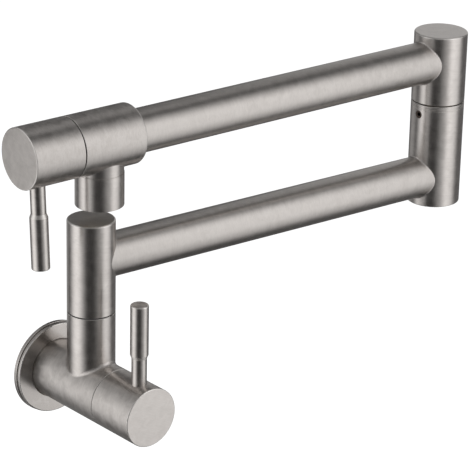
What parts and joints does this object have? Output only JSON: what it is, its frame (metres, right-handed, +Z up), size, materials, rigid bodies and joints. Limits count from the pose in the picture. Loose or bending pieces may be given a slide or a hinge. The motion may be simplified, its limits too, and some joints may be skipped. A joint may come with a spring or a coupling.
{
  "type": "wall mounted pot filler",
  "caption": "Wall mounted pot filler: jointed swing arms that fold along the wall, a lever valve at the wall and another at the spout.",
  "frame": {"origin": "centre of the inlet's mouth in the body's rear face, on the finished wall", "axes": "+Y goes into the wall, -Y out into the room, +X along the wall to the right as seen from the room, +Z up"},
  "size_m": [0.3186, 0.0901, 0.1945],
  "materials": {
    "brushed_stainless": "satin, brushed round and along the tubes",
    "turned_brass": "turned, unplated",
    "black_rubber": "matt black rubber seals",
    "white_plastic": "moulded, off-white",
    "black_plastic": "moulded, black bearing washer",
    "white_ceramic": "lapped white alumina ceramic",
    "black_screw_steel": "black oxide screw steel",
    "stainless_mesh": "bright spring and mesh stainless"
  },
  "bodies": {
    "wall_body": {"valve_body": "brushed_stainless", "swivel_stub": "brushed_stainless", "wall_flange": "brushed_stainless", "flange_gasket": "black_rubber", "flange_o_ring": "black_rubber", "wall_swivel_washer": "black_plastic", "wall_retaining_screw": "black_screw_steel", "main_cartridge_housing": "turned_brass", "main_cartridge_o_ring": "black_rubber", "main_fixed_disc": "white_ceramic", "main_seat_seal": "black_rubber"},
    "main_handle": {"main_handle_cap": "brushed_stainless", "main_lever_rod": "brushed_stainless", "main_cartridge_stem": "turned_brass", "main_moving_disc": "white_ceramic", "main_stem_o_rings": "black_rubber", "main_stem_clip": "stainless_mesh", "main_handle_grub_screw": "black_screw_steel"},
    "first_arm": {"first_arm_post": "brushed_stainless", "first_arm_tube": "brushed_stainless", "elbow_socket": "brushed_stainless", "elbow_ring": "brushed_stainless", "elbow_grub_screw": "black_screw_steel", "wall_spindle": "turned_brass", "wall_spindle_o_rings": "black_rubber"},
    "second_arm": {"elbow_post": "brushed_stainless", "elbow_spindle": "turned_brass", "elbow_spindle_o_rings": "black_rubber", "second_arm_tube": "brushed_stainless", "spout_valve_body": "brushed_stainless", "spout_tube": "brushed_stainless", "aerator_shell": "turned_brass", "aerator_grid": "white_plastic", "aerator_screens": "stainless_mesh", "aerator_diffuser": "white_plastic", "aerator_washer": "black_rubber", "spout_cartridge_housing": "turned_brass", "spout_cartridge_o_ring": "black_rubber", "spout_fixed_disc": "white_ceramic", "spout_seat_seal": "black_rubber"},
    "spout_handle": {"spout_handle_cap": "brushed_stainless", "spout_lever_rod": "brushed_stainless", "spout_cartridge_stem": "turned_brass", "spout_moving_disc": "white_ceramic", "spout_stem_o_rings": "black_rubber", "spout_stem_clip": "stainless_mesh", "spout_handle_grub_screw": "black_screw_steel"}
  },
  "joints": [
    {"name": "wall_swivel", "type": "hinge", "parent": "wall_body", "child": "first_arm", "pos_m": [0, -0.0366, 0.0467], "axis": [0, 0, 1], "range_deg": [-175.5, 4.5]},
    {"name": "elbow_swivel", "type": "hinge", "parent": "first_arm", "child": "second_arm", "pos_m": [0.24923, -0.05622, 0.1247], "axis": [0, 0, 1], "continuous": true},
    {"name": "main_handle_turn", "type": "hinge", "parent": "wall_body", "child": "main_handle", "pos_m": [0, -0.0785, 0], "axis": [0, -1, 0], "range_deg": [0, 90]},
    {"name": "spout_handle_turn", "type": "hinge", "parent": "second_arm", "child": "spout_handle", "pos_m": [-0.0005, -0.04466, 0.1499], "axis": [-0.9989, 0.0462, 0], "range_deg": [-3.2, 86.8]}
  ]
}
